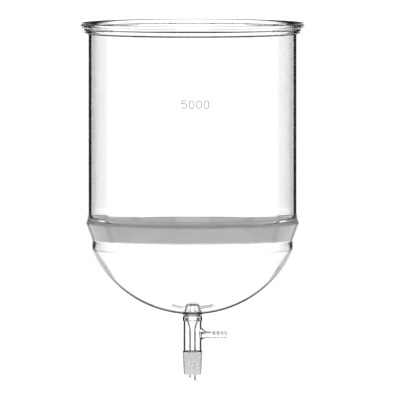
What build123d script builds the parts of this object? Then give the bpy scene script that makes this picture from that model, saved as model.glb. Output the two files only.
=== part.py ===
from build123d import *

import math
import os

# A fritted filter funnel of the five litre class, with a vacuum side arm. Millimetres.
# Origin: centre of the ground joint's large end. +Z is up and +X runs along the side arm.
# The glass pieces are fused to each other, so neighbours meet face to face.

# Ground joint: a 19/22 standard taper cone
joint_large_r = 9.4
joint_length = 22.0
joint_taper = 0.05  # radius lost for each millimetre of length
joint_wall = 1.9
joint_shoulder = 0.7
joint_edge_round = 0.7

# Stem: the jacket tube and the drip tube inside it
jacket_outer_r = 8.8
jacket_wall = 1.2
jacket_length = 28.3
drip_bore_r = 2.2
drip_wall = 1.1
drip_below_joint = 6.2
drip_slant = 30.0  # degrees
drain_r = 5.2
drip_flare_height = 9.0

# Ring seal under the bowl
ring_height = 4.2
ring_proud = 0.5
ring_round = 0.6

# Side arm
arm_height = 15.9
arm_flare_above = 9.9
arm_flare_below = 6.4
arm_flare_half_width = 5.8
arm_flare_length = 4.2
arm_curl = 0.32  # how much of the flare is left at the middle section
arm_curl_place = 0.4  # where that section stands between jacket and neck
arm_root_depth = 0.3  # how far the flare's root starts inside the jacket
arm_outer_r = 3.0
arm_bore_r = 1.7
arm_mouth_r = 2.7
arm_end_x = 17.0

# Hose barb
barb_ridges = 4
barb_first_x = 19.6
barb_pitch = 3.95
barb_crest = 0.55
barb_back = 0.5
barb_ramp = 1.5
barb_tip = 1.5
barb_tip_round = 0.5

# Bowl and the thick boss at its lowest point
bowl_wall = 3.7  # at the bowl's lowest point
bowl_thinning = 3.0  # how far the hollow's centre lies above the bowl's own
bowl_swell = 5.5  # how far the bowl's radius exceeds the reservoir's
bowl_neck = 2.1  # from the ring seal to the bowl's lowest point
bowl_seam_drop = 43.8  # from the bowl's centre down to its seam with the collar
boss_r = 20.5
boss_height = 8.7
boss_dish = 1.6
boss_neck_inset = 0.3
boss_round = 1.6

# Porous disc and the collar that grips it
disc_thickness = 16.0
disc_above_seam = 10.5
disc_skin = 2.2  # glass around the disc's edge
disc_shoulder = 2.0  # how far the disc's edge lies below its face
bead_proud = 1.9
bead_drop = 1.2  # from the disc's face down to the bead's crest
bead_rise = 5.0
waist_drop = 2.2  # from the disc's underside down to the waist
waist_inset = 0.3
collar_rise = 8.0
collar_fillet = 1.2  # how far the glass reaches in over the disc's face
bead_blend = 4.0
bead_round = 1.5
waist_round = 4.0

# Reservoir and rim
wall_outer_r = 100.0
wall = 3.0
reservoir_height = 188.5  # from the disc's face to the rim's face
rim_height = 10.5
rim_proud = 6.5
rim_lower_proud = 3.8
rim_groove_depth = 0.7
rim_upper_lip = 4.0
rim_lower_lip = 2.4
rim_lead_in = 1.5
rim_edge_round = 1.6
rim_lip_round = 0.9

# Enamel figures
mark_figures = "5000"
mark_height = 8.0
mark_width = 5.2
mark_pitch = 7.0
mark_stroke = 0.9
mark_film = 0.15
mark_centre_x = 2.7
mark_above_disc = 115.0

# Sizes that follow from the ones above
wall_inner_r = wall_outer_r - wall
jacket_inner_r = jacket_outer_r - jacket_wall
drip_outer_r = drip_bore_r + drip_wall
joint_small_r = joint_large_r - joint_taper * joint_length
bowl_outer_r = wall_outer_r + bowl_swell
bowl_inner_r = bowl_outer_r - bowl_wall + bowl_thinning

# Heights, stacked upwards from the ground joint
jacket_top_z = joint_shoulder + jacket_length
ring_top_z = jacket_top_z + ring_height
bowl_bottom_z = ring_top_z + bowl_neck
bowl_centre_z = bowl_bottom_z + bowl_outer_r
hollow_centre_z = bowl_centre_z + bowl_thinning
seam_z = bowl_centre_z - bowl_seam_drop
disc_bottom_z = seam_z + disc_above_seam
disc_top_z = disc_bottom_z + disc_thickness
collar_top_z = disc_top_z + collar_rise
rim_top_z = disc_top_z + reservoir_height
rim_bottom_z = rim_top_z - rim_height
waist_z = disc_bottom_z - waist_drop
seam_outer_r = math.sqrt(bowl_outer_r**2 - bowl_seam_drop**2)
seam_inner_r = math.sqrt(bowl_inner_r**2 - (bowl_seam_drop + bowl_thinning) ** 2)
waist_r = seam_outer_r - waist_inset
bead_r = wall_outer_r + bead_proud
bead_z = disc_top_z - bead_drop
taper = (bead_r - waist_r) / (bead_z - waist_z)
disc_edge_z = disc_top_z - disc_shoulder
disc_edge_r = bead_r - taper * (bead_z - disc_edge_z) - disc_skin
disc_bottom_r = waist_r + taper * waist_drop - disc_skin
disc_face_r = wall_inner_r - collar_fillet
tip_z = -joint_length - drip_below_joint
barb_last_x = barb_first_x + (barb_ridges - 1) * barb_pitch
barb_end_x = barb_last_x + barb_tip
arm_axis = Axis((0, 0, arm_height), (1, 0, 0))


def bowl_point(radius, centre_z, angle):
    """A point of the bowl's section, angle measured from straight down."""
    return (radius * math.sin(angle), centre_z - radius * math.cos(angle))


def bowl_arc(radius, centre_z, low, high):
    """An arc of the bowl's section between two angles."""
    points = [bowl_point(radius, centre_z, angle) for angle in (low, (low + high) / 2, high)]
    return ThreePointArc(*points)


# Angles at which the bowl meets the boss and the collar
boss_angle = math.asin(boss_r / bowl_outer_r)
boss_inner_angle = math.asin(boss_r / bowl_inner_r)
seam_outer_angle = math.acos(bowl_seam_drop / bowl_outer_r)
seam_inner_angle = math.acos((bowl_seam_drop + bowl_thinning) / bowl_inner_r)
boss_top_z = bowl_bottom_z + boss_height
boss_neck_r = jacket_outer_r - boss_neck_inset

os.makedirs("parts", exist_ok=True)


# Rim: a flat ground face with two lips and a shallow groove between them
with BuildPart() as rim_flange:
    with BuildSketch(Plane.XZ):
        with BuildLine():
            lip_r = wall_outer_r + rim_proud
            lower_r = wall_outer_r + rim_lower_proud
            groove_r = lower_r - rim_groove_depth
            lower_z = rim_bottom_z + rim_lead_in
            groove_z = lower_z + rim_lower_lip + rim_groove_depth
            outline = FilletPolyline(
                (wall_inner_r, rim_bottom_z),
                (wall_outer_r, rim_bottom_z),
                (lower_r, lower_z),
                (lower_r, lower_z + rim_lower_lip),
                (groove_r, groove_z),
                (lip_r, rim_top_z - rim_upper_lip),
                (lip_r, rim_top_z),
                (wall_inner_r, rim_top_z),
                radius=[0, rim_lip_round, rim_lip_round, 0, rim_lip_round, rim_edge_round],
            )
            Line(outline @ 1, outline @ 0)
        make_face()
    revolve(axis=Axis.Z)
rim_flange.part.label = "rim_flange"
export_step(rim_flange.part, "parts/rim_flange.step")


# Reservoir: a plain tube from the collar to the rim
with BuildPart() as reservoir_wall:
    with BuildSketch(Plane.XY.offset(collar_top_z)):
        Circle(wall_outer_r)
        Circle(wall_inner_r, mode=Mode.SUBTRACT)
    extrude(amount=rim_bottom_z - collar_top_z)
reservoir_wall.part.label = "reservoir_wall"
export_step(reservoir_wall.part, "parts/reservoir_wall.step")


# Collar: a bead outside, a hollow fillet over the disc's face inside, and a waist above the bowl
with BuildPart() as disc_collar:
    with BuildSketch(Plane.XZ):
        with BuildLine():
            outside = FilletPolyline(
                (wall_outer_r, collar_top_z),
                (wall_outer_r, bead_z + bead_rise),
                (bead_r, bead_z),
                (waist_r, waist_z),
                (seam_outer_r, seam_z),
                radius=[bead_blend, bead_round, waist_round],
            )
            seat = Polyline(
                (seam_outer_r, seam_z),
                (seam_inner_r, seam_z),
                (disc_bottom_r, disc_bottom_z),
                (disc_edge_r, disc_edge_z),
                (disc_face_r, disc_top_z),
            )
            TangentArc((wall_inner_r, collar_top_z), seat @ 1, tangent=(0, -1))
            Line((wall_inner_r, collar_top_z), outside @ 0)
        make_face()
    revolve(axis=Axis.Z)
disc_collar.part.label = "disc_collar"
export_step(disc_collar.part, "parts/disc_collar.step")


# Porous disc: its face, a shoulder under the collar's fillet, and an edge that narrows downwards
with BuildPart() as fritted_disc:
    with BuildSketch(Plane.XZ):
        with BuildLine():
            Polyline(
                (0, disc_bottom_z),
                (disc_bottom_r, disc_bottom_z),
                (disc_edge_r, disc_edge_z),
                (disc_face_r, disc_top_z),
                (0, disc_top_z),
                close=True,
            )
        make_face()
    revolve(axis=Axis.Z)
fritted_disc.part.label = "fritted_disc"
export_step(fritted_disc.part, "parts/fritted_disc.step")


# Bowl: part of a sphere from the boss to the collar, thinner towards the collar
with BuildPart() as lower_bowl:
    with BuildSketch(Plane.XZ):
        with BuildLine():
            outer = bowl_arc(bowl_outer_r, bowl_centre_z, boss_angle, seam_outer_angle)
            inner = bowl_arc(bowl_inner_r, hollow_centre_z, boss_inner_angle, seam_inner_angle)
            Line(outer @ 0, inner @ 0)
            Line(outer @ 1, inner @ 1)
        make_face()
    revolve(axis=Axis.Z)
lower_bowl.part.label = "lower_bowl"
export_step(lower_bowl.part, "parts/lower_bowl.step")


# Boss: a thick pad, dished towards the drain hole, with a short neck below
with BuildPart() as outlet_boss:
    with BuildSketch(Plane.XZ):
        with BuildLine():
            neck_angle = math.asin(1.4 * boss_neck_r / bowl_outer_r)
            skin = bowl_arc(bowl_outer_r, bowl_centre_z, neck_angle, boss_angle)
            inner_edge = bowl_point(bowl_inner_r, hollow_centre_z, boss_inner_angle)
            Line(skin @ 1, inner_edge)
            top = FilletPolyline(
                inner_edge,
                (inner_edge[0] - boss_round, boss_top_z),
                (drain_r + boss_round, boss_top_z - boss_dish),
                (drain_r, boss_top_z - boss_dish - boss_round),
                (drain_r, ring_top_z),
                radius=[boss_round, boss_round, boss_round / 2],
            )
            foot = Line(top @ 1, (boss_neck_r, ring_top_z))
            TangentArc(foot @ 1, skin @ 0, tangent=(0, 1))
        make_face()
    revolve(axis=Axis.Z)
outlet_boss.part.label = "outlet_boss"
export_step(outlet_boss.part, "parts/outlet_boss.step")


# Ring seal: closes the jacket's top around the flared end of the drip tube
with BuildPart() as neck_ring:
    with BuildSketch(Plane.XZ):
        with BuildLine():
            ring_r = jacket_outer_r + ring_proud
            band = FilletPolyline(
                (drain_r, jacket_top_z),
                (ring_r, jacket_top_z),
                (ring_r, ring_top_z),
                (drain_r, ring_top_z),
                radius=ring_round,
            )
            Line(band @ 1, band @ 0)
        make_face()
    revolve(axis=Axis.Z)
neck_ring.part.label = "neck_ring"
export_step(neck_ring.part, "parts/neck_ring.step")


# Jacket: a plain tube with the side arm's mouth in its wall
with BuildPart() as stem_jacket:
    with BuildSketch(Plane.XY.offset(joint_shoulder)):
        Circle(jacket_outer_r)
        Circle(jacket_inner_r, mode=Mode.SUBTRACT)
    extrude(amount=jacket_length)
    with BuildSketch(Plane(origin=(0, 0, arm_height), z_dir=(1, 0, 0))):
        Circle(arm_mouth_r)
    extrude(amount=jacket_outer_r, mode=Mode.SUBTRACT)
stem_jacket.part.label = "stem_jacket"
export_step(stem_jacket.part, "parts/stem_jacket.step")


# Drip tube: flared to the drain hole at the top, cut on a slant at the tip
with BuildPart() as drip_tube:
    with BuildSketch(Plane.XZ):
        with BuildLine():
            flare_z = jacket_top_z - drip_flare_height
            bore = Line((drip_bore_r, tip_z), (drip_bore_r, flare_z))
            bore_flare = TangentArc(bore @ 1, (drain_r, jacket_top_z), tangent=(0, 1))
            skin = Line((drip_outer_r, tip_z), (drip_outer_r, flare_z))
            skin_flare = TangentArc(
                skin @ 1, (drain_r + drip_wall, jacket_top_z), tangent=(0, 1)
            )
            Line(bore_flare @ 1, skin_flare @ 1)
            Line(bore @ 0, skin @ 0)
        make_face()
    revolve(axis=Axis.Z)
    slope = math.tan(math.radians(drip_slant))
    split(
        bisect_by=Plane(
            origin=(drip_outer_r, 0, tip_z), x_dir=(0, 1, 0), z_dir=(slope, 0, 1)
        ),
        keep=Keep.TOP,
    )
drip_tube.part.label = "drip_tube"
export_step(drip_tube.part, "parts/drip_tube.step")


# Ground joint: a hollow cone, open at the bottom around the drip tube
with BuildPart() as ground_joint:
    with BuildSketch(Plane.XZ):
        with BuildLine():
            cone = FilletPolyline(
                (jacket_inner_r, joint_shoulder),
                (jacket_outer_r, joint_shoulder),
                (joint_large_r, 0),
                (joint_small_r, -joint_length),
                (joint_small_r - joint_wall, -joint_length),
                (jacket_inner_r, 0),
                radius=[0, 0, joint_edge_round, joint_edge_round],
            )
            Line(cone @ 1, cone @ 0)
        make_face()
    revolve(axis=Axis.Z)
ground_joint.part.label = "ground_joint"
export_step(ground_joint.part, "parts/ground_joint.step")


# Side arm: an oval trumpet that blends out of the jacket and narrows to a round neck
with BuildPart() as side_arm:
    root_x = math.sqrt(jacket_outer_r**2 - arm_flare_half_width**2) - arm_root_depth
    neck_x = jacket_outer_r + arm_flare_length
    middle_x = jacket_outer_r + arm_flare_length * arm_curl_place
    flare_half_height = (arm_flare_above + arm_flare_below) / 2
    flare_lift = (arm_flare_above - arm_flare_below) / 2
    curl_width = arm_outer_r + (arm_flare_half_width - arm_outer_r) * arm_curl
    curl_height = arm_outer_r + (flare_half_height - arm_outer_r) * arm_curl
    sections = [
        (root_x, arm_flare_half_width, flare_half_height + arm_root_depth, flare_lift),
        (middle_x, curl_width, curl_height, flare_lift * arm_curl),
        (neck_x, arm_outer_r, arm_outer_r, 0),
    ]
    for section_x, half_width, half_height, lift in sections:
        with BuildSketch(
            Plane(origin=(section_x, 0, arm_height + lift), x_dir=(0, 1, 0), z_dir=(1, 0, 0))
        ):
            Ellipse(half_width, half_height)
    loft()
    with BuildSketch(Plane(origin=(neck_x, 0, arm_height), x_dir=(0, 1, 0), z_dir=(1, 0, 0))):
        Circle(arm_outer_r)
    extrude(amount=arm_end_x - neck_x)
    with BuildSketch(Plane.XZ):
        with BuildLine():
            Polyline(
                (0, arm_height),
                (0, arm_height + arm_mouth_r),
                (jacket_outer_r, arm_height + arm_mouth_r),
                (neck_x, arm_height + arm_bore_r),
                (arm_end_x, arm_height + arm_bore_r),
                (arm_end_x, arm_height),
                close=True,
            )
        make_face()
    revolve(axis=arm_axis, mode=Mode.SUBTRACT)
    with BuildSketch(Plane.XY):
        Circle(jacket_outer_r)
    extrude(amount=jacket_top_z, mode=Mode.SUBTRACT)
side_arm.part.label = "side_arm"
export_step(side_arm.part, "parts/side_arm.step")


# Hose barb: ridges with a steep back and a ramp towards the tip
with BuildPart() as hose_barb:
    with BuildSketch(Plane.XZ):
        with BuildLine():
            root_z = arm_height + arm_outer_r
            crest_z = root_z + barb_crest
            outline_points = [(arm_end_x, root_z)]
            for ridge in range(barb_ridges):
                crest_x = barb_first_x + ridge * barb_pitch
                outline_points.append((crest_x - barb_back, root_z))
                outline_points.append((crest_x, crest_z))
                if ridge < barb_ridges - 1:
                    outline_points.append((crest_x + barb_ramp, root_z))
            outline_points.append((barb_end_x, root_z))
            outline_points.append((barb_end_x, arm_height + arm_bore_r))
            outline_points.append((arm_end_x, arm_height + arm_bore_r))
            Polyline(*outline_points, close=True)
        make_face()
    revolve(axis=arm_axis)
    tip_edges = hose_barb.edges().filter_by(GeomType.CIRCLE).group_by(Axis.X)[-1]
    fillet(tip_edges.sort_by(SortBy.RADIUS)[-1], radius=barb_tip_round)
hose_barb.part.label = "hose_barb"
export_step(hose_barb.part, "parts/hose_barb.step")


def draw_zero(centre):
    """A tall rounded ring."""
    with Locations((centre, 0)):
        SlotOverall(mark_height, mark_width, rotation=90)
        SlotOverall(
            mark_height - 2 * mark_stroke,
            mark_width - 2 * mark_stroke,
            rotation=90,
            mode=Mode.SUBTRACT,
        )


def draw_five(centre):
    """A flag, a short stem and a round belly, all one stroke wide."""
    half = (mark_height - mark_stroke) / 2
    reach = (mark_width - mark_stroke) / 2
    belly = reach * 1.1
    with BuildLine() as stroke:
        Polyline(
            (centre + reach, half),
            (centre - reach, half),
            (centre - reach, belly - half + belly * 0.75),
        )
        CenterArc((centre - reach * 0.1, belly - half), belly, 143, -290)
    trace(stroke.edges(), line_width=mark_stroke)


# Enamel figures: a thin film on the front of the reservoir
with BuildPart() as capacity_mark:
    mark_z = disc_top_z + mark_above_disc
    with BuildSketch(Plane(origin=(mark_centre_x, 0, mark_z), x_dir=(1, 0, 0), z_dir=(0, -1, 0))):
        first = -mark_pitch * (len(mark_figures) - 1) / 2
        for place, figure in enumerate(mark_figures):
            if figure == "0":
                draw_zero(first + place * mark_pitch)
            else:
                draw_five(first + place * mark_pitch)
    extrude(amount=wall_outer_r + mark_film)
    with BuildSketch(Plane.XY.offset(mark_z - mark_height)):
        Circle(wall_outer_r + mark_film)
        Circle(wall_outer_r, mode=Mode.SUBTRACT)
    extrude(amount=2 * mark_height, mode=Mode.INTERSECT)
capacity_mark.part.label = "capacity_mark"
export_step(capacity_mark.part, "parts/capacity_mark.step")


litres = math.pi * wall_inner_r**2 * reservoir_height / 1e6
print(f"brim capacity above the disc: {litres:.2f} litres")
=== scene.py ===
import math

import bmesh
import bpy
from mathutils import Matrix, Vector


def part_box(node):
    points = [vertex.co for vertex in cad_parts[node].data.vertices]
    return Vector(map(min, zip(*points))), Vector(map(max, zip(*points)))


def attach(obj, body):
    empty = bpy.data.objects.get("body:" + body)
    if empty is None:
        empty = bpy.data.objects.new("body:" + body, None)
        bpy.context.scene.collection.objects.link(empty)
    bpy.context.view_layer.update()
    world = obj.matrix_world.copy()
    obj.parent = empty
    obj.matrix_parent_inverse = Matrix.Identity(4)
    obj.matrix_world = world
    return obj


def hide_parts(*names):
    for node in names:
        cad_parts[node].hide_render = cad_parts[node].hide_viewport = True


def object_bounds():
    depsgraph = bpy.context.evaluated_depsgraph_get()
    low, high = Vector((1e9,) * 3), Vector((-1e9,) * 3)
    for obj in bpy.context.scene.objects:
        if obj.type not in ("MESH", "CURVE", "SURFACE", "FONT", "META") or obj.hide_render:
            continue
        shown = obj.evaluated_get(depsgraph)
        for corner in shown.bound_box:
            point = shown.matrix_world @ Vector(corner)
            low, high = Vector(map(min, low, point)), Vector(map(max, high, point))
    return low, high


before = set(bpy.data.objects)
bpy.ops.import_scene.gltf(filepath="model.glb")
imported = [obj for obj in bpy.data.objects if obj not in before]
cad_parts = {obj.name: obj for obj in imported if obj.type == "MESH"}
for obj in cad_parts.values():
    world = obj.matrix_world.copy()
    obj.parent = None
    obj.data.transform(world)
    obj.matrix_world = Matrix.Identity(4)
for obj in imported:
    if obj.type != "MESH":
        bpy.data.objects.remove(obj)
cad_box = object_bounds()

MM = 0.001
TURN_STEPS = 384  # sides of the large turned pieces
SMALL_STEPS = 128  # sides of the stem's pieces
SEAM_GAP = 0.01 * MM  # half the hairline left between fused pieces
SKIN, SEAM, BORE = 0, 1, 2  # a face's place in its piece's materials
FLARE = 3  # the tee's own fourth material
UNDER, FACE = 3, 4  # the rim's own: under the lower lip, and the flat top
CRISP = math.radians(28)  # edges sharper than this stay crisp


# ---------------------------------------------------------------- outlines


def arc(centre, radius, start, end, step=3.0):
    """Points along an arc, angles in degrees, both ends included."""
    count = max(2, int(abs(end - start) / step) + 1)
    points = []
    for i in range(count + 1):
        angle = math.radians(start + (end - start) * i / count)
        points.append((centre[0] + radius * math.cos(angle), centre[1] + radius * math.sin(angle)))
    return points


def rounded(corners, step=6.0):
    """A path through (x, y, radius) corners, with an arc in each corner that has a radius."""
    path = []
    last = len(corners) - 1
    for i, corner_and_radius in enumerate(corners):
        x, y = corner_and_radius[:2]
        corner = Vector((x, y))
        radius = corner_and_radius[2] if len(corner_and_radius) > 2 else 0
        if radius <= 0 or i in (0, last):
            path.append((x, y))
            continue
        before = (Vector(corners[i - 1][:2]) - corner).normalized()
        after = (Vector(corners[i + 1][:2]) - corner).normalized()
        half = before.angle(after) / 2
        reach = radius / math.tan(half)
        centre = corner + (before + after).normalized() * (radius / math.sin(half))
        first = corner + before * reach - centre
        final = corner + after * reach - centre
        start = math.atan2(first.y, first.x)
        sweep = first.angle_signed(final)
        count = max(2, int(abs(math.degrees(sweep)) / step) + 1)
        for k in range(count + 1):
            angle = start - sweep * k / count
            path.append((centre.x + radius * math.cos(angle), centre.y + radius * math.sin(angle)))
    return path


def straight(start, end, pitch):
    """Points along a line, about pitch apart, both ends included."""
    count = max(1, round(math.dist(start, end) / pitch))
    return [
        (start[0] + (end[0] - start[0]) * i / count, start[1] + (end[1] - start[1]) * i / count)
        for i in range(count + 1)
    ]


# ---------------------------------------------------------------- meshes


def finish_piece(bm, name, materials, nodes):
    """A mesh object from bm that stands for the CAD nodes and has their finish."""
    bmesh.ops.remove_doubles(bm, verts=bm.verts, dist=0.0005 * MM)
    bmesh.ops.recalc_face_normals(bm, faces=bm.faces)
    mesh = bpy.data.meshes.new(name)
    bm.to_mesh(mesh)
    bm.free()
    mesh.shade_smooth()
    mesh.set_sharp_from_angle(angle=CRISP)
    for material in materials:
        mesh.materials.append(material)
    piece = bpy.data.objects.new(name, mesh)
    bpy.context.scene.collection.objects.link(piece)
    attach(piece, "root")
    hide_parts(*nodes)
    return piece


def turned(runs, steps, along="Z", height=0.0):
    """A closed surface of revolution. runs is a list of (points, kind); points are (radius, distance along
    the axis). The last point of one run is the first of the next, and the last run closes the first.
    """
    bm = bmesh.new()
    rings = []
    kinds = []
    for points, kind in runs:
        for point in points[:-1]:
            rings.append(point)
            kinds.append(kind)
    circles = []
    for radius, place in rings:
        if radius < 1e-7:
            circles.append([bm.verts.new(on_axis(0, 0, place, along, height))])
            continue
        circle = []
        for k in range(steps):
            angle = 2 * math.pi * k / steps
            across = radius * math.cos(angle)
            up = radius * math.sin(angle)
            circle.append(bm.verts.new(on_axis(across, up, place, along, height)))
        circles.append(circle)
    for i, circle in enumerate(circles):
        following = circles[(i + 1) % len(circles)]
        if len(circle) == 1 and len(following) == 1:
            continue
        for k in range(steps):
            corners = [circle[k % len(circle)], circle[(k + 1) % len(circle)]]
            corners += [following[(k + 1) % len(following)], following[k % len(following)]]
            unique = list(dict.fromkeys(corners))
            if len(unique) > 2:
                bm.faces.new(unique).material_index = kinds[i]
    return bm


def on_axis(across, up, place, along, height):
    """A point of a turned piece whose axis is the funnel's own or the side arm's."""
    if along == "Z":
        return (across, up, place)
    return (place, across, up + height)


# ---------------------------------------------------------------- sizes, from the frame

rim_low, rim_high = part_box("rim_flange")
wall_low, wall_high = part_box("reservoir_wall")
collar_low, collar_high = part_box("disc_collar")
disc_low, disc_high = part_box("fritted_disc")
boss_low, boss_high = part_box("outlet_boss")
ring_low, ring_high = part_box("neck_ring")
jacket_low, jacket_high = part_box("stem_jacket")
drip_low, drip_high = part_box("drip_tube")
joint_low, joint_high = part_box("ground_joint")
arm_low, arm_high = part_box("side_arm")
barb_low, barb_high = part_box("hose_barb")

WALL = 3.0 * MM
BOWL_SWELL = 5.5 * MM  # how far the bowl's radius exceeds the reservoir's
BOWL_THINNEST = 0.7 * MM  # the two bowl radii's difference
BOWL_THINNING = 3.0 * MM  # how far the hollow's centre lies above the bowl's
BOWL_NECK = 2.1 * MM  # from the neck ring up to the bowl's lowest point
JACKET_WALL = 1.2 * MM
NECK_INSET = 0.3 * MM
DRIP_WALL = 1.1 * MM
FLARE_LENGTH = 4.2 * MM  # the side arm's flare, along the arm
BARB_CREST = 0.55 * MM
BARB_FIRST, BARB_PITCH = 19.6, 3.95  # mm

wall_outer = wall_high.x
wall_inner = wall_outer - WALL
rim_outer = rim_high.x
bowl_outer = wall_outer + BOWL_SWELL
bowl_inner = bowl_outer - BOWL_THINNEST
bowl_centre = ring_high.z + BOWL_NECK + bowl_outer
hollow_centre = bowl_centre + BOWL_THINNING
jacket_outer = jacket_high.x
jacket_inner = jacket_outer - JACKET_WALL
drain = 5.2 * MM
arm_axis_z = (barb_low.z + barb_high.z) / 2
ARM_R = 3.0 * MM
ARM_CUT = jacket_outer + 0.6 * MM  # where the side arm's piece starts


# ---------------------------------------------------------------- materials


def new_material(name):
    material = bpy.data.materials.new(name)
    material.use_nodes = True
    nodes = material.node_tree.nodes
    nodes.clear()
    output = nodes.new("ShaderNodeOutputMaterial")
    return material, nodes, material.node_tree.links, output


def noise(nodes, links, scale, detail, stretch=(1, 1, 1)):
    """Noise in the object's own coordinates, in cycles per metre; stretch divides one direction's scale."""
    coordinates = nodes.new("ShaderNodeTexCoord")
    mapping = nodes.new("ShaderNodeMapping")
    mapping.inputs["Scale"].default_value = [1 / v for v in stretch]
    links.new(coordinates.outputs["Object"], mapping.inputs["Vector"])
    texture = nodes.new("ShaderNodeTexNoise")
    texture.inputs["Scale"].default_value = scale
    texture.inputs["Detail"].default_value = detail
    links.new(mapping.outputs["Vector"], texture.inputs["Vector"])
    return texture.outputs["Fac"]


def ramp(nodes, links, source, *stops):
    """A colour ramp from (place, colour) stops; a colour may be one grey level."""
    node = nodes.new("ShaderNodeValToRGB")
    elements = node.color_ramp.elements
    while len(elements) < len(stops):
        elements.new(0.5)
    for element, (place, colour) in zip(elements, stops):
        element.position = place
        if isinstance(colour, (int, float)):
            colour = (colour, colour, colour)
        element.color = (*colour, 1)
    links.new(source, node.inputs["Fac"])
    return node.outputs["Color"]


def multiply(nodes, links, first, second):
    node = nodes.new("ShaderNodeMix")
    node.data_type = "RGBA"
    node.blend_type = "MULTIPLY"
    node.inputs["Factor"].default_value = 1.0
    links.new(first, node.inputs["A"])
    links.new(second, node.inputs["B"])
    return node.outputs["Result"]


def bump(nodes, links, height, strength, distance):
    node = nodes.new("ShaderNodeBump")
    node.inputs["Strength"].default_value = strength
    node.inputs["Distance"].default_value = distance
    links.new(height, node.inputs["Height"])
    return node.outputs["Normal"]


def clear_glass(name, outer, inner=None, fade=None):
    """Flame-polished borosilicate: colourless, with faint drawing lines and a trace of dust. Seen edge on, a
    skin gets painted shade: near-black diffuse is mixed in to draw its outline, which real glass doesn't do.
    outer and inner are (facing, painted shade) stops, for a ray that meets the skin from the air and from
    inside the glass. With fade, two heights, the painted shade grows from none to full between them."""
    material, nodes, links, output = new_material(name)
    shader = nodes.new("ShaderNodeBsdfPrincipled")
    shader.inputs["IOR"].default_value = 1.473
    shader.inputs["Transmission Weight"].default_value = 1.0
    cast = ramp(nodes, links, noise(nodes, links, 30, 2), (0.35, (0.985, 0.995, 0.99)), (0.65, 1.0))
    links.new(cast, shader.inputs["Base Color"])
    dust = ramp(nodes, links, noise(nodes, links, 900, 3), (0.62, 0.0), (0.8, 0.03))
    links.new(dust, shader.inputs["Roughness"])
    lines = noise(nodes, links, 60, 1, (1, 1, 12))
    links.new(bump(nodes, links, lines, 0.02, 0.2 * MM), shader.inputs["Normal"])
    weight = nodes.new("ShaderNodeLayerWeight")
    weight.inputs["Blend"].default_value = 0.5
    painted_shade = ramp(nodes, links, weight.outputs["Facing"], *outer)
    if inner:
        within = ramp(nodes, links, weight.outputs["Facing"], *inner)
        geometry = nodes.new("ShaderNodeNewGeometry")
        choose = nodes.new("ShaderNodeMix")
        choose.data_type = "RGBA"
        links.new(geometry.outputs["Backfacing"], choose.inputs["Factor"])
        links.new(painted_shade, choose.inputs["A"])
        links.new(within, choose.inputs["B"])
        painted_shade = choose.outputs["Result"]
    if fade:
        coordinates = nodes.new("ShaderNodeTexCoord")
        split = nodes.new("ShaderNodeSeparateXYZ")
        links.new(coordinates.outputs["Object"], split.inputs[0])
        height = nodes.new("ShaderNodeMapRange")
        height.inputs["From Min"].default_value = fade[0]
        height.inputs["From Max"].default_value = fade[1]
        links.new(split.outputs["Z"], height.inputs["Value"])
        painted_shade = multiply(nodes, links, painted_shade, height.outputs["Result"])
    # painted shade: this near-black diffuse is mixed in where a skin is seen edge on, to draw its outline
    shade = nodes.new("ShaderNodeBsdfDiffuse")
    shade.inputs["Color"].default_value = (0.01, 0.01, 0.01, 1)
    mix = nodes.new("ShaderNodeMixShader")
    links.new(painted_shade, mix.inputs["Fac"])
    links.new(shader.outputs["BSDF"], mix.inputs[1])
    links.new(shade.outputs["BSDF"], mix.inputs[2])
    links.new(mix.outputs["Shader"], output.inputs["Surface"])
    return material


def fused_seam():
    """The hidden face where one piece is melted into the next: light passes straight on."""
    material, nodes, links, output = new_material("fused_seam")
    shader = nodes.new("ShaderNodeBsdfTransparent")
    links.new(shader.outputs["BSDF"], output.inputs["Surface"])
    return material


def ground_glass():
    """Frosted glass with grinding lines around it. Its colour gets painted shade at its edges, darker the more
    edge on it is seen, as above.
    """
    material, nodes, links, output = new_material("ground_glass")
    shader = nodes.new("ShaderNodeBsdfPrincipled")
    shader.inputs["IOR"].default_value = 1.473
    shader.inputs["Transmission Weight"].default_value = 0.35
    clouds = noise(nodes, links, 180, 4)
    grit = noise(nodes, links, 4000, 2)
    lines = noise(nodes, links, 2500, 1, (20, 20, 1))
    tone = ramp(nodes, links, clouds, (0.3, (0.94, 0.92, 0.92)), (0.7, (0.965, 0.95, 0.95)))
    grain = ramp(nodes, links, grit, (0.35, 0.96), (0.6, 1.0))
    weight = nodes.new("ShaderNodeLayerWeight")
    # painted shade: the colour below is darkened where the surface is seen edge on
    edge = ramp(nodes, links, weight.outputs["Facing"], (0.35, 1.0), (0.75, 0.3))
    tone = multiply(nodes, links, tone, edge)
    links.new(multiply(nodes, links, tone, grain), shader.inputs["Base Color"])
    rough = ramp(nodes, links, clouds, (0.3, 0.24), (0.7, 0.36))
    links.new(rough, shader.inputs["Roughness"])
    pits = ramp(nodes, links, grit, (0, 0), (1, 1))
    scratches = ramp(nodes, links, lines, (0, 0), (1, 1))
    height = multiply(nodes, links, pits, scratches)
    links.new(bump(nodes, links, height, 0.04, 0.05 * MM), shader.inputs["Normal"])
    links.new(shader.outputs["BSDF"], output.inputs["Surface"])
    return material


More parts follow.
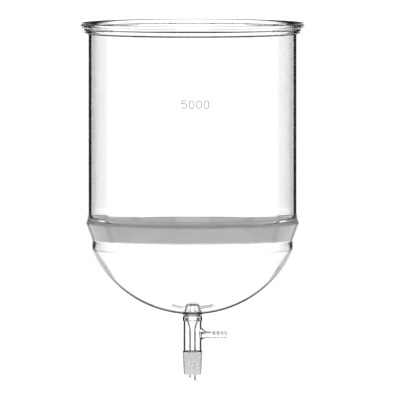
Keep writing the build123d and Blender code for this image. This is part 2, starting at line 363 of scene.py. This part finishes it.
def sintered_glass(name, dark, light):
    """Glass grains baked together: white, granular, with pores between the grains."""
    material, nodes, links, output = new_material(name)
    shader = nodes.new("ShaderNodeBsdfPrincipled")
    shader.inputs["IOR"].default_value = 1.473
    coordinates = nodes.new("ShaderNodeTexCoord")
    grains = nodes.new("ShaderNodeTexVoronoi")
    grains.inputs["Scale"].default_value = 1400
    links.new(coordinates.outputs["Object"], grains.inputs["Vector"])
    clouds = noise(nodes, links, 45, 5)
    tone = ramp(nodes, links, clouds, (0.3, dark), (0.7, light))
    pores = ramp(nodes, links, grains.outputs["Distance"], (0.25, 1.0), (0.85, 0.78))
    links.new(multiply(nodes, links, tone, pores), shader.inputs["Base Color"])
    rough = ramp(nodes, links, grains.outputs["Distance"], (0.1, 0.7), (0.8, 0.95))
    links.new(rough, shader.inputs["Roughness"])
    hills = ramp(nodes, links, grains.outputs["Distance"], (0, 1), (0.9, 0))
    links.new(bump(nodes, links, hills, 0.6, 0.3 * MM), shader.inputs["Normal"])
    links.new(shader.outputs["BSDF"], output.inputs["Surface"])
    return material


def enamel():
    """Fired ceramic ink: pale grey, thinner in places, with a fine grain."""
    material, nodes, links, output = new_material("enamel")
    shader = nodes.new("ShaderNodeBsdfPrincipled")
    clouds = noise(nodes, links, 900, 4)
    tone = ramp(nodes, links, clouds, (0.35, (0.44, 0.44, 0.46)), (0.65, (0.56, 0.56, 0.58)))
    links.new(tone, shader.inputs["Base Color"])
    rough = ramp(nodes, links, clouds, (0.3, 0.35), (0.7, 0.5))
    links.new(rough, shader.inputs["Roughness"])
    grain = noise(nodes, links, 6000, 2)
    links.new(bump(nodes, links, grain, 0.3, 0.03 * MM), shader.inputs["Normal"])
    links.new(shader.outputs["BSDF"], output.inputs["Surface"])
    return material


# One clear glass in copies that differ in painted shade: each skin gets its own near-black outline, dark on a
# bore and faint on an outside
OUTSIDE = clear_glass("clear_glass", [(0.93, 0), (1.0, 0.35)])
WALL_BORE = clear_glass(
    "clear_glass_bore",
    [(0.88, 0), (0.95, 0.95)],
    [(0.256, 0), (0.262, 0.95), (0.271, 0.95), (0.277, 0)],
)
# painted shade on the bowl's outline, stronger towards the bottom
BOWL_BORE = clear_glass(
    "clear_glass_bowl",
    [(0.94, 0), (1.0, 0.5)],
    [(0.250, 0), (0.258, 0.3), (0.268, 0.3), (0.275, 0)],
    fade=(98 * MM, 60 * MM),
)
TUBE_BORE = clear_glass(
    "clear_glass_tube",
    [(0.45, 0), (0.72, 0.95)],
    [(0.22, 0), (0.25, 0.9), (0.31, 0.9), (0.34, 0)],
)
DRIP_BORE = clear_glass(
    "clear_glass_drip",
    [(0.35, 0), (0.60, 0.95)],
    [(0.18, 0), (0.24, 0.9), (0.42, 0.9), (0.50, 0)],
)
# painted shade on the bowl's outer outline, stronger towards the bottom
BOWL_SKIN = clear_glass("clear_glass_bowl_skin", [(0.76, 0), (0.86, 0.95)], fade=(92 * MM, 50 * MM))
EDGED = clear_glass("clear_glass_edged", [(0.22, 0), (0.42, 0.95)], [(0.6, 0), (0.8, 0.8)])
RING_SKIN = clear_glass("clear_glass_ring", [(0.30, 0), (0.55, 0.95)], [(0.6, 0), (0.8, 0.8)])
RIM_FACE = clear_glass("clear_glass_rim_face", [(0.36, 0), (0.66, 0.95)], [(0.6, 0), (0.8, 0.8)])
FINE_EDGED = clear_glass("clear_glass_fine", [(0.42, 0), (0.72, 0.9)], [(0.7, 0), (0.9, 0.7)])
THICK = clear_glass("clear_glass_thick", [(0.68, 0), (0.80, 0.9)], [(0.30, 0), (0.45, 0.9)])
BOSS_TOP = clear_glass("clear_glass_boss", [(0.93, 0), (1.0, 0.5)], [(0.25, 0), (0.32, 0.85)])
# painted shade, strong: this copy goes near-black unless seen fairly square on; it is used on the rim's
# underside and the joint's shoulder
SHOULDER = clear_glass("clear_glass_shoulder", [(0.10, 0), (0.40, 0.9)], [(0.1, 0), (0.4, 0.9)])
FUSED = fused_seam()
GROUND = ground_glass()
SINTERED = sintered_glass("sintered_glass", 0.77, 0.85)
# painted highlight: a whiter copy of the sintered glass, put on the disc's shoulder ring to draw the bright
# line along the disc's edge
PAINTED_RIM_HIGHLIGHT = sintered_glass("sintered_glass_painted_highlight", 0.93, 0.98)
ENAMEL = enamel()
WALLS = [OUTSIDE, FUSED, WALL_BORE]


# ---------------------------------------------------------------- pieces


def build_rim():
    low = wall_high.z + SEAM_GAP
    top = rim_high.z
    lower = wall_outer + 3.8 * MM
    neck = lower - 0.7 * MM
    lower_z = rim_low.z + 1.5 * MM
    lower_lip = rounded(
        [
            (wall_outer, low, 0),
            (lower, lower_z, 0.9 * MM),
            (lower, lower_z + 2.4 * MM, 0.9 * MM),
            (neck, lower_z + 3.1 * MM, 0),
        ]
    )
    upper_lip = rounded(
        [
            (neck + 0.6 * MM, lower_z + 3.5 * MM),
            (rim_outer, top - 4.0 * MM, 1.8 * MM),
            (rim_outer, top, 1.6 * MM),
            (rim_outer - 1.7 * MM, top, 0),
        ]
    )
    face = rounded([upper_lip[-1], (wall_inner, top, 2.4 * MM), (wall_inner, top - 3.0 * MM, 0)])
    bore = [face[-1], (wall_inner, low)]
    seam = [bore[-1], lower_lip[0]]
    underside = lower_lip[:2]
    lips = lower_lip[1:] + upper_lip
    runs = [(underside, UNDER), (lips, SKIN), (face, FACE), (bore, BORE), (seam, SEAM)]
    bm = turned(runs, TURN_STEPS)
    return finish_piece(bm, "glass_rim_flange", WALLS + [SHOULDER, RIM_FACE], ["rim_flange"])


def build_wall():
    low = wall_low.z + SEAM_GAP
    high = wall_high.z - SEAM_GAP
    outer = straight((wall_outer, low), (wall_outer, high), 10 * MM)
    inner = straight((wall_inner, high), (wall_inner, low), 10 * MM)
    top = [(wall_outer, high), (wall_inner, high)]
    foot = [(wall_inner, low), (wall_outer, low)]
    bm = turned([(outer, SKIN), (top, SEAM), (inner, BORE), (foot, SEAM)], TURN_STEPS)
    return finish_piece(bm, "glass_reservoir_wall", WALLS, ["reservoir_wall"])


def bowl_arc(radius, centre, low, high, count=48):
    """The bowl's section between two angles from straight down."""
    points = []
    for i in range(count + 1):
        angle = low + (high - low) * i / count
        points.append((radius * math.sin(angle), centre - radius * math.cos(angle)))
    return points


DISC_SKIN = 2.2 * MM  # glass around the disc's edge
SEAM_DROP = bowl_centre - collar_low.z
seam_outer = math.sqrt(bowl_outer**2 - SEAM_DROP**2)
seam_inner = math.sqrt(bowl_inner**2 - (SEAM_DROP + BOWL_THINNING) ** 2)
waist = seam_outer - 0.3 * MM
waist_z = disc_low.z - 2.2 * MM
bead = wall_outer + 1.9 * MM
bead_z = disc_high.z - 1.2 * MM
TAPER = (bead - waist) / (bead_z - waist_z)
disc_edge_z = disc_high.z - 2.0 * MM
disc_edge = bead - TAPER * (bead_z - disc_edge_z) - DISC_SKIN
disc_foot = waist + TAPER * 2.2 * MM - DISC_SKIN
disc_face = wall_inner - 1.2 * MM


def build_collar():
    high = collar_high.z - SEAM_GAP
    low = collar_low.z + SEAM_GAP
    outside = rounded(
        [
            (wall_outer, high, 0),
            (wall_outer, bead_z + 5 * MM, 4 * MM),
            (bead, bead_z, 1.5 * MM),
            (waist, waist_z, 4 * MM),
            (seam_outer, low, 0),
        ]
    )
    foot = [(seam_outer, low), (seam_inner, low)]
    lead = [(seam_inner, low), (disc_foot + SEAM_GAP, disc_low.z)]
    seat = [lead[-1], (disc_edge + SEAM_GAP, disc_edge_z), (disc_face + SEAM_GAP, disc_high.z)]
    # a hollow fillet, tangent to the wall above
    rise = high - disc_high.z
    step_in = wall_inner - seat[-1][0]
    radius = (rise**2 + step_in**2) / (2 * step_in)
    sweep = math.degrees(math.asin(rise / radius))
    fillet = arc((wall_inner - radius, high), radius, -sweep, 0, 1.0)
    fillet[0] = seat[-1]
    top = [fillet[-1], (wall_outer, high)]
    runs = [(outside, SKIN), (foot, SEAM), (lead, SKIN), (seat, SEAM), (fillet, BORE), (top, SEAM)]
    bm = turned(runs, TURN_STEPS)
    return finish_piece(bm, "glass_disc_collar", WALLS, ["disc_collar"])


def build_disc():
    top = disc_high.z
    foot = disc_low.z
    side = rounded([(0, foot, 0), (disc_foot, foot, 0.3 * MM), (disc_edge, disc_edge_z, 0)])
    # the shoulder ring takes the second material, the whiter copy of the sintered glass: a painted highlight
    shoulder = rounded([side[-1], (disc_face, top, 0.5 * MM), (disc_face - 0.6 * MM, top, 0)])
    face = [shoulder[-1], (0, top), (0, foot)]
    bm = turned([(side, SKIN), (shoulder, SEAM), (face, SKIN)], TURN_STEPS)
    return finish_piece(bm, "sintered_disc", [SINTERED, PAINTED_RIM_HIGHLIGHT], ["fritted_disc"])


BOSS_R = boss_high.x


def build_bowl():
    outer_top = math.acos((SEAM_DROP + SEAM_GAP) / bowl_outer)
    inner_top = math.acos((hollow_centre - collar_low.z + SEAM_GAP) / bowl_inner)
    low = BOSS_R + SEAM_GAP
    outer = bowl_arc(bowl_outer, bowl_centre, math.asin(low / bowl_outer), outer_top)
    inner = bowl_arc(bowl_inner, hollow_centre, inner_top, math.asin(low / bowl_inner))
    top = [outer[-1], inner[0]]
    foot = [inner[-1], outer[0]]
    bm = turned([(outer, SKIN), (top, SEAM), (inner, BORE), (foot, SEAM)], TURN_STEPS)
    return finish_piece(bm, "glass_lower_bowl", [BOWL_SKIN, FUSED, BOWL_BORE], ["lower_bowl"])


def build_boss():
    neck = jacket_outer - NECK_INSET
    neck_angle = math.asin(1.4 * neck / bowl_outer)
    wide = BOSS_R - SEAM_GAP
    skin = bowl_arc(bowl_outer, bowl_centre, neck_angle, math.asin(wide / bowl_outer), 12)
    edge = bowl_arc(bowl_inner, hollow_centre, math.asin(wide / bowl_inner), 0, 1)[0]
    side = [skin[-1], edge]
    round_r = 1.6 * MM
    top_z = boss_high.z
    low = ring_high.z + SEAM_GAP
    top = rounded(
        [
            (edge[0], edge[1], 0),
            (edge[0] - round_r, top_z, round_r),
            (drain + round_r, top_z - 1.6 * MM, round_r),
            (drain, top_z - 3.2 * MM, round_r / 2),
            (drain, low, 0),
        ]
    )
    foot = [top[-1], (neck, low)]
    # a fillet from the neck out to the bowl's skin
    rise = skin[0][1] - low
    out = skin[0][0] - neck
    radius = (rise**2 + out**2) / (2 * out)
    sweep = math.degrees(2 * math.atan2(out, rise))
    fillet = arc((neck + radius, low), radius, 180, 180 - sweep, 4.0)
    fillet[-1] = skin[0]
    runs = [(skin, SKIN), (side, SEAM), (top, BORE), (foot, SEAM), (fillet, SKIN)]
    bm = turned(runs, SMALL_STEPS * 2)
    return finish_piece(bm, "glass_outlet_boss", [THICK, FUSED, BOSS_TOP], ["outlet_boss"])


def build_ring():
    low = ring_low.z + SEAM_GAP
    high = ring_high.z - SEAM_GAP
    outer = ring_high.x
    neck = jacket_outer - NECK_INSET
    drip_skin = drain + DRIP_WALL
    corners = [(jacket_outer, low, 0), (outer, low, 0.45 * MM), (outer, high, 0.6 * MM), (neck, high, 0)]
    edge = rounded(corners)
    top = [edge[-1], (drain, high)]
    bore = [top[-1], (drain, low)]
    tube_seam = [bore[-1], (drip_skin, low)]
    ceiling = [tube_seam[-1], (jacket_inner, low)]
    jacket_seam = [ceiling[-1], edge[0]]
    runs = [
        (edge, SKIN),
        (top, SEAM),
        (bore, BORE),
        (tube_seam, SEAM),
        (ceiling, BORE),
        (jacket_seam, SEAM),
    ]
    bm = turned(runs, SMALL_STEPS * 2)
    return finish_piece(bm, "glass_neck_ring", [RING_SKIN, FUSED, OUTSIDE], ["neck_ring"])


def solid_object(bm):
    """A plain object in the scene, for cutting and joining; it doesn't stay."""
    bmesh.ops.recalc_face_normals(bm, faces=bm.faces)
    mesh = bpy.data.meshes.new("blank")
    bm.to_mesh(mesh)
    bm.free()
    blank = bpy.data.objects.new("blank", mesh)
    bpy.context.scene.collection.objects.link(blank)
    return blank


def combine(first, second, operation):
    """Joins second to first, or cuts it out of first, and takes second away."""
    modifier = first.modifiers.new("combine", "BOOLEAN")
    modifier.operation = operation
    modifier.solver = "EXACT"
    modifier.object = second
    graph = bpy.context.evaluated_depsgraph_get()
    mesh = bpy.data.meshes.new_from_object(first.evaluated_get(graph))
    first.modifiers.clear()
    first.data = mesh
    bpy.data.objects.remove(second)


def between(x, points):
    """The parabola through three (x, value) points."""
    (x0, v0), (x1, v1), (x2, v2) = points
    return (
        v0 * (x - x1) * (x - x2) / ((x0 - x1) * (x0 - x2))
        + v1 * (x - x0) * (x - x2) / ((x1 - x0) * (x1 - x2))
        + v2 * (x - x0) * (x - x1) / ((x2 - x0) * (x2 - x1))
    )


def trumpet(sides=96, steps=36):
    """The side arm's outside: an oval flare that narrows to the round neck."""
    neck_x = jacket_outer + FLARE_LENGTH
    root_x = math.sqrt(jacket_outer**2 - (5.8 * MM) ** 2) - 0.3 * MM
    middle_x = jacket_outer + 1.68 * MM
    places = [root_x, middle_x, neck_x]
    widths = list(zip(places, (5.8 * MM, 3.9 * MM, ARM_R)))
    heights = list(zip(places, (8.45 * MM, 4.65 * MM, ARM_R)))
    lifts = list(zip(places, (1.75 * MM, 0.56 * MM, 0)))
    bm = bmesh.new()
    rings = []
    stations = [root_x + (neck_x - root_x) * i / steps for i in range(steps + 1)]
    for x in stations + [arm_high.x + 2 * MM]:
        place = min(x, neck_x)
        width, height, lift = (between(place, table) for table in (widths, heights, lifts))
        ring = []
        for k in range(sides):
            angle = 2 * math.pi * k / sides
            up = arm_axis_z + lift + height * math.sin(angle)
            ring.append(bm.verts.new((x, width * math.cos(angle), up)))
        rings.append(ring)
    for ring, following in zip(rings, rings[1:]):
        for k in range(sides):
            j = (k + 1) % sides
            bm.faces.new((ring[k], ring[j], following[j], following[k]))
    bm.faces.new(rings[0])
    bm.faces.new(rings[-1])
    return bm


def arm_bore(x):
    """The bore's radius: wide at the jacket, narrower along the flare."""
    share = min(max((x - jacket_outer) / FLARE_LENGTH, 0), 1)
    return 2.7 * MM - share * 1.0 * MM


def build_jacket_and_arm():
    """The jacket and the side arm as one tee, cut apart where the flare leaves the jacket."""
    low = jacket_low.z + SEAM_GAP
    high = jacket_high.z - SEAM_GAP
    end = arm_high.x - SEAM_GAP
    outer = straight((jacket_outer, low), (jacket_outer, high), 2 * MM)
    foot, head = (0, low), (0, high)
    rod = turned([([foot] + outer + [head], SKIN), ([head, foot], SKIN)], SMALL_STEPS)
    tee = solid_object(rod)
    combine(tee, solid_object(trumpet()), "UNION")
    bore = straight((jacket_inner, low - MM), (jacket_inner, high + MM), 2 * MM)
    foot, head = (0, low - MM), (0, high + MM)
    core = turned([([foot] + bore + [head], SKIN), ([head, foot], SKIN)], SMALL_STEPS)
    combine(tee, solid_object(core), "DIFFERENCE")
    places = [2 * MM, jacket_outer] + [jacket_outer + 0.6 * MM * i for i in range(1, 8)] + [arm_high.x + 4 * MM]
    hole = [(arm_bore(x), x) for x in places]
    start, stop = (0, places[0]), (0, places[-1])
    drill = turned([([start] + hole + [stop], SKIN), ([stop, start], SKIN)], SMALL_STEPS // 2, "X", arm_axis_z)
    combine(tee, solid_object(drill), "DIFFERENCE")
    pieces = []
    for name, node, side in (("glass_stem_jacket", "stem_jacket", 1), ("glass_side_arm", "side_arm", -1)):
        bm = bmesh.new()
        bm.from_mesh(tee.data)
        cuts = [(ARM_CUT - side * SEAM_GAP, side)]
        if side < 0:
            cuts.append((end, 1))
        for place, way in cuts:
            cut = bmesh.ops.bisect_plane(
                bm,
                geom=list(bm.verts) + list(bm.edges) + list(bm.faces),
                plane_co=(place, 0, 0),
                plane_no=(way, 0, 0),
                clear_outer=True,
            )
            edges = [e for e in cut["geom_cut"] if isinstance(e, bmesh.types.BMEdge)]
            bmesh.ops.bridge_loops(bm, edges=edges)
        for face in bm.faces:
            centre = face.calc_center_median()
            across = math.hypot(centre.y, centre.z - arm_axis_z)
            on_cut = any(all(abs(v.co.x - place) < 0.005 * MM for v in face.verts) for place, way in cuts)
            on_end = all(abs(v.co.z - low) < 0.005 * MM or abs(v.co.z - high) < 0.005 * MM for v in face.verts)
            in_jacket = math.hypot(centre.x, centre.y) < jacket_inner + 0.05 * MM
            in_arm = centre.x > 0 and across < arm_bore(centre.x) + 0.05 * MM
            if on_cut or (on_end and abs(face.normal.z) > 0.9):
                face.material_index = SEAM
            elif in_jacket or in_arm:
                face.material_index = BORE
            elif math.hypot(centre.x, centre.y) > jacket_outer + 0.05 * MM:
                face.material_index = FLARE
            else:
                face.material_index = SKIN
        skins = [OUTSIDE, FUSED, TUBE_BORE, EDGED] if side > 0 else [EDGED, FUSED, OUTSIDE, EDGED]
        pieces.append(finish_piece(bm, name, skins, [node]))
    bpy.data.objects.remove(tee)
    return pieces


def build_drip():
    top_z = drip_high.z - SEAM_GAP
    bore_r = 2.2 * MM
    skin_r = bore_r + DRIP_WALL
    flare_z = drip_high.z - 9.0 * MM
    rise = top_z - flare_z
    out = drain - bore_r
    radius = (rise**2 + out**2) / (2 * out)
    sweep = math.degrees(math.asin(rise / radius))
    bore_flare = arc((bore_r + radius, flare_z), radius, 180, 180 - sweep, 2.0)
    skin_flare = arc((skin_r + radius, flare_z), radius, 180, 180 - sweep, 2.0)
    tip = drip_low.z - 0.1 * MM
    skin = straight((skin_r, tip), (skin_r, flare_z), 2 * MM)[:-1] + skin_flare
    bore = bore_flare[::-1] + straight((bore_r, flare_z), (bore_r, tip), 2 * MM)[1:]
    top = [skin[-1], bore[0]]
    foot = [bore[-1], skin[0]]
    bm = turned([(skin, SKIN), (top, SEAM), (bore, BORE), (foot, SKIN)], SMALL_STEPS)
    slope = math.tan(math.radians(30.0))
    cut = bmesh.ops.bisect_plane(
        bm,
        geom=list(bm.verts) + list(bm.edges) + list(bm.faces),
        plane_co=(skin_r, 0, drip_low.z),
        plane_no=(-slope, 0, -1),
        clear_outer=True,
    )
    rim_edges = [e for e in cut["geom_cut"] if isinstance(e, bmesh.types.BMEdge)]
    bmesh.ops.bridge_loops(bm, edges=rim_edges)
    return finish_piece(bm, "glass_drip_tube", [OUTSIDE, FUSED, DRIP_BORE], ["drip_tube"])


def build_joint():
    low = joint_low.z
    top = joint_high.z - SEAM_GAP
    large = joint_high.x
    small = large - 1.1 * MM
    shoulder = rounded([(jacket_outer, top, 0), (large, 0, 0.15 * MM), (large, -0.4 * MM, 0)])
    cone = rounded(
        [
            shoulder[-1],
            (small, low, 0.8 * MM),
            (small - 1.9 * MM, low, 0.6 * MM),
            (jacket_inner, 0, 0),
            (jacket_inner, top, 0),
        ]
    )
    bm = turned([(shoulder, BORE), (cone, SKIN), ([cone[-1], shoulder[0]], SEAM)], SMALL_STEPS)
    return finish_piece(bm, "ground_joint_cone", [GROUND, FUSED, SHOULDER], ["ground_joint"])


def build_barb():
    low = barb_low.x + SEAM_GAP
    root = ARM_R
    bore = 1.7 * MM
    crest = root + BARB_CREST
    corners = [(low, root, 0)]
    for ridge in range(4):
        x = (BARB_FIRST + BARB_PITCH * ridge) * MM
        corners += [(x - 0.5 * MM, root, 0.15 * MM), (x, crest, 0.2 * MM)]
        if ridge < 3:
            corners.append((x + 1.5 * MM, root, 0.2 * MM))
    tip = barb_high.x
    corners += [(tip, root, 0.5 * MM), (tip, bore + 0.4 * MM, 0)]
    skin = [(y, x) for x, y in rounded(corners)]
    hole = [(y, x) for x, y in rounded([(tip, bore + 0.4 * MM, 0), (tip, bore, 0.3 * MM), (low, bore, 0)])]
    runs = [(skin, SKIN), (hole, BORE), ([hole[-1], skin[0]], SEAM)]
    bm = turned(runs, SMALL_STEPS, "X", arm_axis_z)
    return finish_piece(bm, "glass_hose_barb", [FINE_EDGED, FUSED, OUTSIDE], ["hose_barb"])


build_rim()
build_wall()
build_collar()
build_disc()
build_bowl()
build_boss()
build_ring()
build_jacket_and_arm()
build_drip()
build_joint()
build_barb()
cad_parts["capacity_mark"].data.materials.clear()
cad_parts["capacity_mark"].data.materials.append(ENAMEL)

# ---------------------------------------------------------------- stage, light and camera

FLOOR_DROP = 32 * MM  # below the drip tip
WHITE = 1.22  # how bright the white panels are
SIDE_PANEL = 17  # degrees to each side of the panels behind the four sides
CORNER_PANEL = 17  # the same for the lower panels behind the four corners
PANEL_TOP = 14  # the panels' upper end, in degrees above the horizon
CEILING_EXTRA = 0.7  # how much brighter the ceiling is than the panels, as a share of them
CEILING = 52  # where the bright ceiling starts
CORNER_SCREEN = 8  # how wide the lower screens are
ROW_LINE = -6.5  # where the upper and the lower row of panels meet
LOWER_END = -36  # the lower row's lower end


def build_floor():
    bm = bmesh.new()
    bmesh.ops.create_circle(bm, cap_ends=True, segments=96, radius=0.35)
    mesh = bpy.data.meshes.new("floor")
    bm.to_mesh(mesh)
    bm.free()
    floor = bpy.data.objects.new("floor", mesh)
    floor.location.z = cad_box[0].z - FLOOR_DROP
    bpy.context.scene.collection.objects.link(floor)
    material, nodes, links, output = new_material("floor")
    shader = nodes.new("ShaderNodeBsdfPrincipled")
    shader.inputs["Base Color"].default_value = (0.8, 0.8, 0.8, 1)
    shader.inputs["Roughness"].default_value = 0.9
    shader.inputs["Emission Color"].default_value = (1, 1, 1, 1)
    shader.inputs["Emission Strength"].default_value = WHITE
    links.new(shader.outputs["BSDF"], output.inputs["Surface"])
    mesh.materials.append(material)


def build_world():
    """A white room with dark screens between the bright panels at the four sides. The camera itself sees
    only white behind the piece."""
    world = bpy.data.worlds.new("studio")
    bpy.context.scene.world = world
    world.use_nodes = True
    nodes = world.node_tree.nodes
    links = world.node_tree.links
    nodes.clear()

    def math_node(operation, a, b=None, clamp=False):
        node = nodes.new("ShaderNodeMath")
        node.operation = operation
        node.use_clamp = clamp
        for i, value in enumerate((a, b)):
            if value is None:
                continue
            if isinstance(value, (int, float)):
                node.inputs[i].default_value = value
            else:
                links.new(value, node.inputs[i])
        return node.outputs[0]

    coordinates = nodes.new("ShaderNodeTexCoord")
    split = nodes.new("ShaderNodeSeparateXYZ")
    links.new(coordinates.outputs["Generated"], split.inputs[0])
    x, y, z = split.outputs
    azimuth = math_node("ARCTAN2", y, x)
    quarter = math_node("PINGPONG", azimuth, math.pi / 4)  # 0 at a side, 45 degrees at a corner
    corner = math_node("SUBTRACT", math.pi / 4, quarter)
    elevation = math_node("ARCSINE", z)

    def past(angle, edge, soft):
        """0 up to the edge, then up to 1 over the soft angle, in degrees."""
        return math_node("DIVIDE", math_node("SUBTRACT", angle, math.radians(edge)), math.radians(soft), True)

    high = past(elevation, ROW_LINE, 2)  # 1 above the line between the lower and the upper row of panels
    upper = past(quarter, SIDE_PANEL, 2)
    lower = math_node("SUBTRACT", past(corner, CORNER_PANEL, 2), past(corner, CORNER_PANEL + CORNER_SCREEN, 2))
    upper_row = math_node("MULTIPLY", upper, high)
    lower_row = math_node("MULTIPLY", lower, math_node("SUBTRACT", 1.0, high))
    row = math_node("ADD", upper_row, lower_row)
    over = math_node("SUBTRACT", past(elevation, PANEL_TOP, 3), past(elevation, CEILING, 8))
    below = math_node("SUBTRACT", 1.0, past(elevation, CEILING, 8))
    dark = math_node("MAXIMUM", math_node("MULTIPLY", row, below), over)
    dark = math_node("MULTIPLY", dark, past(elevation, LOWER_END, 4))
    level = math_node("SUBTRACT", 1.0, math_node("MULTIPLY", dark, 0.98))
    extra = math_node("MULTIPLY", past(elevation, CEILING, 8), CEILING_EXTRA)
    level = math_node("ADD", level, extra)
    path = nodes.new("ShaderNodeLightPath")
    level = math_node("MAXIMUM", level, path.outputs["Is Camera Ray"])
    level = math_node("MULTIPLY", level, WHITE)
    background = nodes.new("ShaderNodeBackground")
    background.inputs["Color"].default_value = (1, 1, 1, 1)
    links.new(level, background.inputs["Strength"])
    output = nodes.new("ShaderNodeOutputWorld")
    links.new(background.outputs[0], output.inputs["Surface"])


def build_camera():
    camera = bpy.data.cameras.new("camera")
    camera.sensor_width = 36.0
    camera.lens = 1600.0
    camera.clip_end = 30.0
    obj = bpy.data.objects.new("camera", camera)
    bpy.context.scene.collection.objects.link(obj)
    bpy.context.scene.camera = obj
    width = 0.3795
    distance = width * camera.lens / camera.sensor_width
    elevation = math.radians(2.7)
    target = Vector((0.0071, 0, 0.1438))
    back = Vector((0, -math.cos(elevation), math.sin(elevation)))
    obj.location = target + back * distance
    obj.rotation_mode = "QUATERNION"
    obj.rotation_quaternion = (-back).to_track_quat("-Z", "Y")


build_floor()
build_world()
build_camera()
scene = bpy.context.scene
scene.view_settings.view_transform = "Standard"
scene.cycles.max_bounces = 24
scene.cycles.transmission_bounces = 24
scene.cycles.glossy_bounces = 12
scene.cycles.transparent_max_bounces = 32
